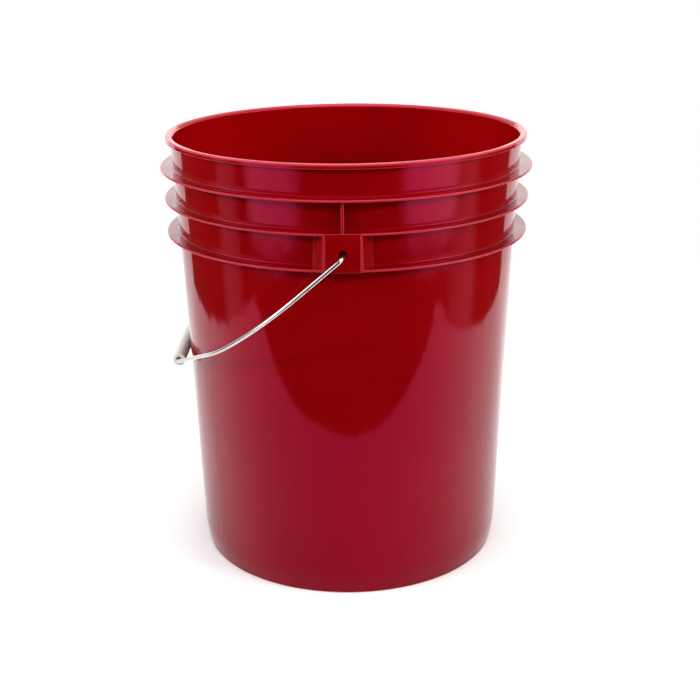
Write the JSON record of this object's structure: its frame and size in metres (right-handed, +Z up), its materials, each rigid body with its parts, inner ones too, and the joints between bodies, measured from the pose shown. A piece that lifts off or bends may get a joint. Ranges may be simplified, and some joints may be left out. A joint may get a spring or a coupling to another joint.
{
  "type": "bucket",
  "caption": "Open-head plastic bucket with flanges round its neck, a swinging wire bail hooked into moulded ears, and a loose plastic hand grip.",
  "frame": {"origin": "centre of the base, on the floor the bucket stands on", "axes": "+Z up along the bucket's centre line; the bail turns about Y; +X points away from the side the bail hangs on"},
  "size_m": [0.3142, 0.3396, 0.368],
  "materials": {
    "red_plastic": "glossy moulded polyethylene, dyed red",
    "zinc_wire": "bright zinc-plated drawn steel wire",
    "natural_plastic": "undyed off-white polyethylene"
  },
  "bodies": {
    "pail": {"pail": "red_plastic"},
    "bail": {"wire_bail": "zinc_wire"},
    "grip": {"hand_grip": "natural_plastic"}
  },
  "joints": [
    {"name": "bail_swing", "type": "hinge", "parent": "pail", "child": "bail", "pos_m": [0, 0, 0.2992], "axis": [0, 1, 0], "range_deg": [0, 259.5]},
    {"name": "grip_spin", "type": "hinge", "parent": "bail", "child": "grip", "pos_m": [-0.14526, 0, 0.17828], "axis": [0, 1, 0], "continuous": true}
  ]
}
